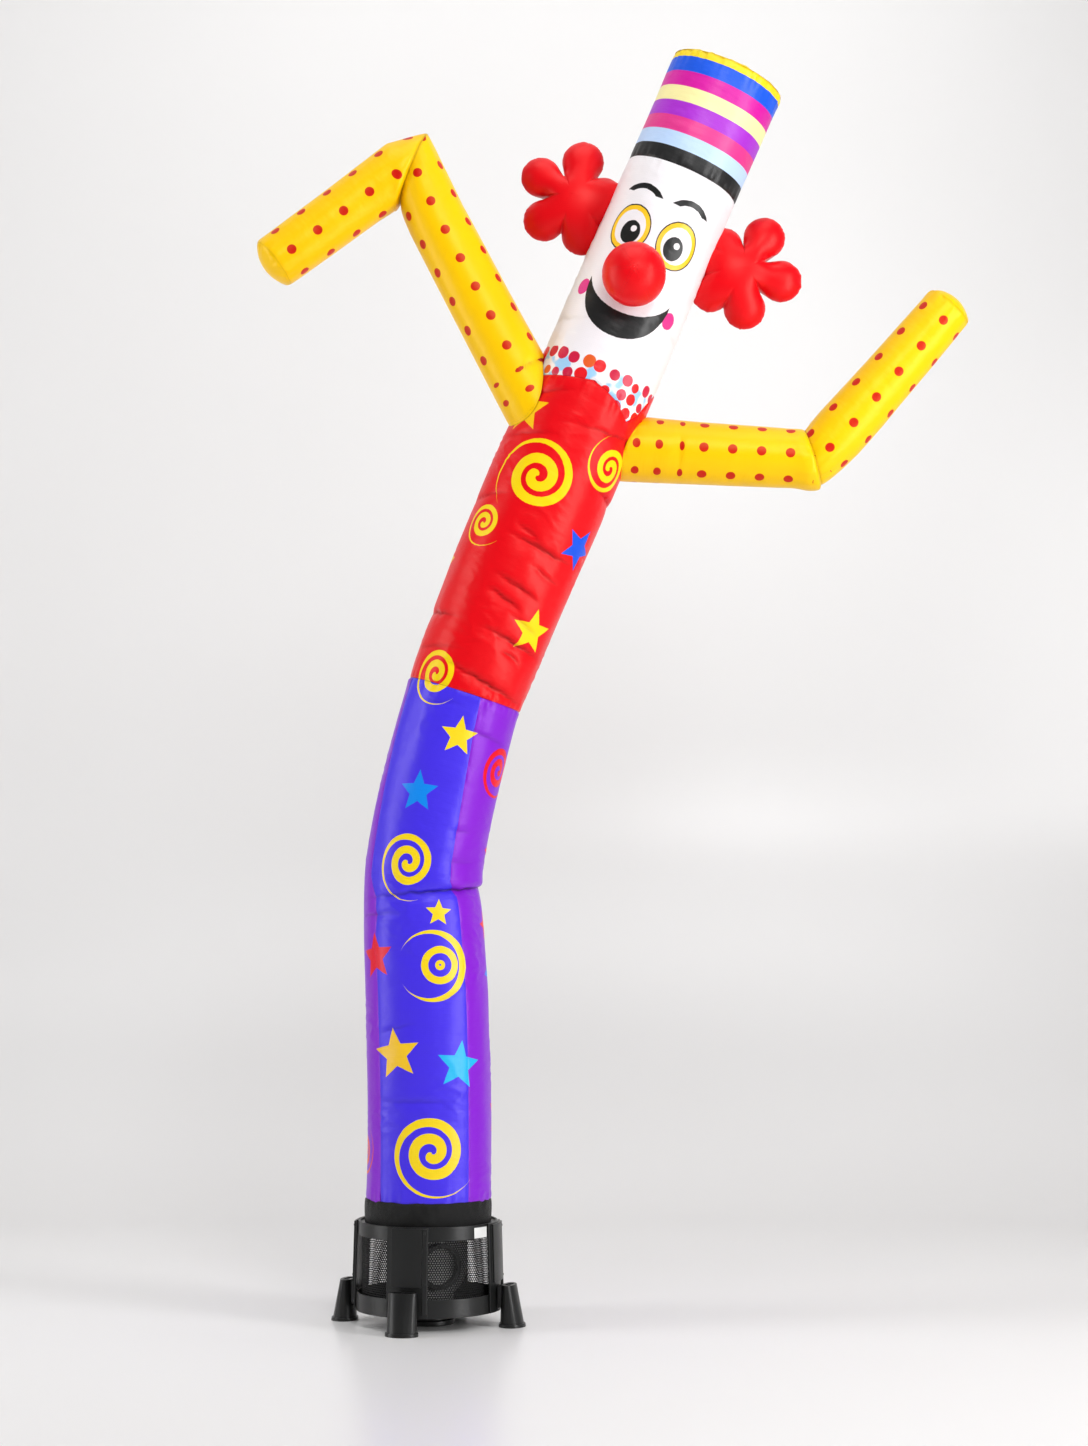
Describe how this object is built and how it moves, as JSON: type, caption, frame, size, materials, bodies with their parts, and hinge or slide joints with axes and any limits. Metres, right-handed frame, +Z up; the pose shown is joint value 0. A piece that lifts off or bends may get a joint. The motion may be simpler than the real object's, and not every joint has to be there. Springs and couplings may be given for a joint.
{
  "type": "inflatable air dancer on a blower base",
  "caption": "Inflatable air dancer: a bent tube figure of thin printed cloth with sleeves, hair puffs and a ball nose, clamped on a round floor blower base with feet.",
  "frame": {"origin": "on the floor under the middle of the blower base, at the centre of its floor hub's flat underside", "axes": "+Z up, -Y is the front that the face looks to, and the figure leans towards +X"},
  "size_m": [1.7608, 0.5179, 3.1301],
  "materials": {
    "black_plastic": "moulded black plastic, fine grain",
    "black_webbing": "black woven webbing",
    "blue_cloth": "satin coated ripstop nylon",
    "guard_mesh": "black wire mesh",
    "label": "blank white label",
    "motor": "black painted motor can",
    "purple_cloth": "satin coated ripstop nylon",
    "red_cloth": "satin coated ripstop nylon",
    "striped_cloth": "satin coated ripstop nylon",
    "white_cloth": "satin coated ripstop nylon",
    "yellow_cloth": "satin coated ripstop nylon"
  },
  "bodies": {
    "root": {"base_cuff": "black_webbing", "base_foot_1": "black_plastic", "base_foot_2": "black_plastic", "base_foot_3": "black_plastic", "base_foot_4": "black_plastic", "base_guard_1": "guard_mesh", "base_guard_2": "guard_mesh", "base_guard_3": "guard_mesh", "base_guard_4": "guard_mesh", "base_hub": "black_plastic", "base_lower_ring": "black_plastic", "base_pillar_1": "black_plastic", "base_pillar_2": "black_plastic", "base_pillar_3": "black_plastic", "base_pillar_4": "black_plastic", "base_top_ring": "black_plastic", "blank_label": "label", "crown_disc": "yellow_cloth", "fan_housing": "black_plastic", "fan_inlet_ring": "black_plastic", "fan_motor": "motor", "hair_puff_left": "red_cloth", "hair_puff_right": "red_cloth", "hat_tube": "striped_cloth", "head_tube": "white_cloth", "nose_ball": "red_cloth", "shirt_tube": "red_cloth", "sleeve_left": "yellow_cloth", "sleeve_left_end": "yellow_cloth", "sleeve_right": "yellow_cloth", "sleeve_right_end": "yellow_cloth", "trouser_panel_back": "blue_cloth", "trouser_panel_front": "blue_cloth", "trouser_panel_left": "purple_cloth", "trouser_panel_right": "purple_cloth"}
  },
  "joints": []
}
